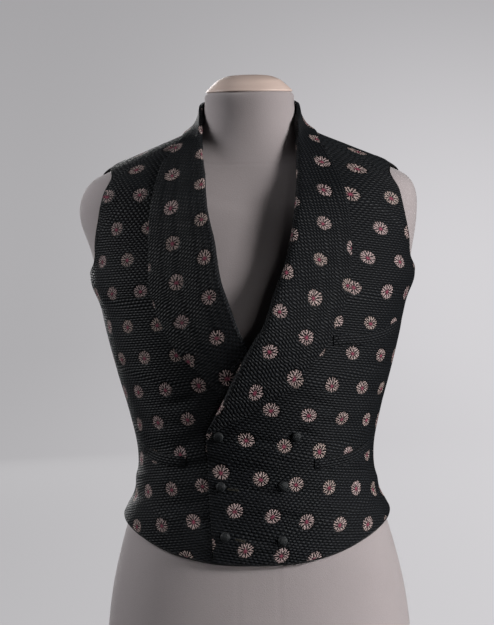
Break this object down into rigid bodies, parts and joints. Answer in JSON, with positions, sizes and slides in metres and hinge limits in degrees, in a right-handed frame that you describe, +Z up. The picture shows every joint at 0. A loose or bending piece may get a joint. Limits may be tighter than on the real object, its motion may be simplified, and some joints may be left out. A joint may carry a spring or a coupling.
{
  "type": "waistcoat on a limbless dress form",
  "caption": "Double-breasted waistcoat with a wide shawl collar and welt pockets, worn by a limbless dress form with a domed neck cap that stands on its flat base.",
  "frame": {"origin": "bottom centre: on the floor plane, under the middle of the whole", "axes": "+X towards the wearer's left, -Y towards the front, +Z up along the body"},
  "size_m": [0.4191, 0.2605, 0.7678],
  "materials": {
    "cloth": "textured black silk weave with a soft sheen and small woven star spots",
    "back_cloth": "plain black cotton, matt",
    "button_cloth": "black silk over a mould, soft sheen",
    "form_cover": "stretched mauve-grey cover, matt",
    "cap_wood": "painted wood, satin"
  },
  "bodies": {
    "root": {"form_body": "form_cover", "form_neck_cap": "cap_wood", "front_left": "cloth", "front_right": "cloth", "collar_left": "cloth", "collar_right": "cloth", "collar_stand": "cloth", "welt_breast": "cloth", "welt_waist_left": "cloth", "welt_waist_right": "cloth", "back_left": "back_cloth", "back_right": "back_cloth", "button_edge_1": "button_cloth", "button_edge_2": "button_cloth", "button_edge_3": "button_cloth", "button_far_1": "button_cloth", "button_far_2": "button_cloth", "button_far_3": "button_cloth"}
  },
  "joints": []
}
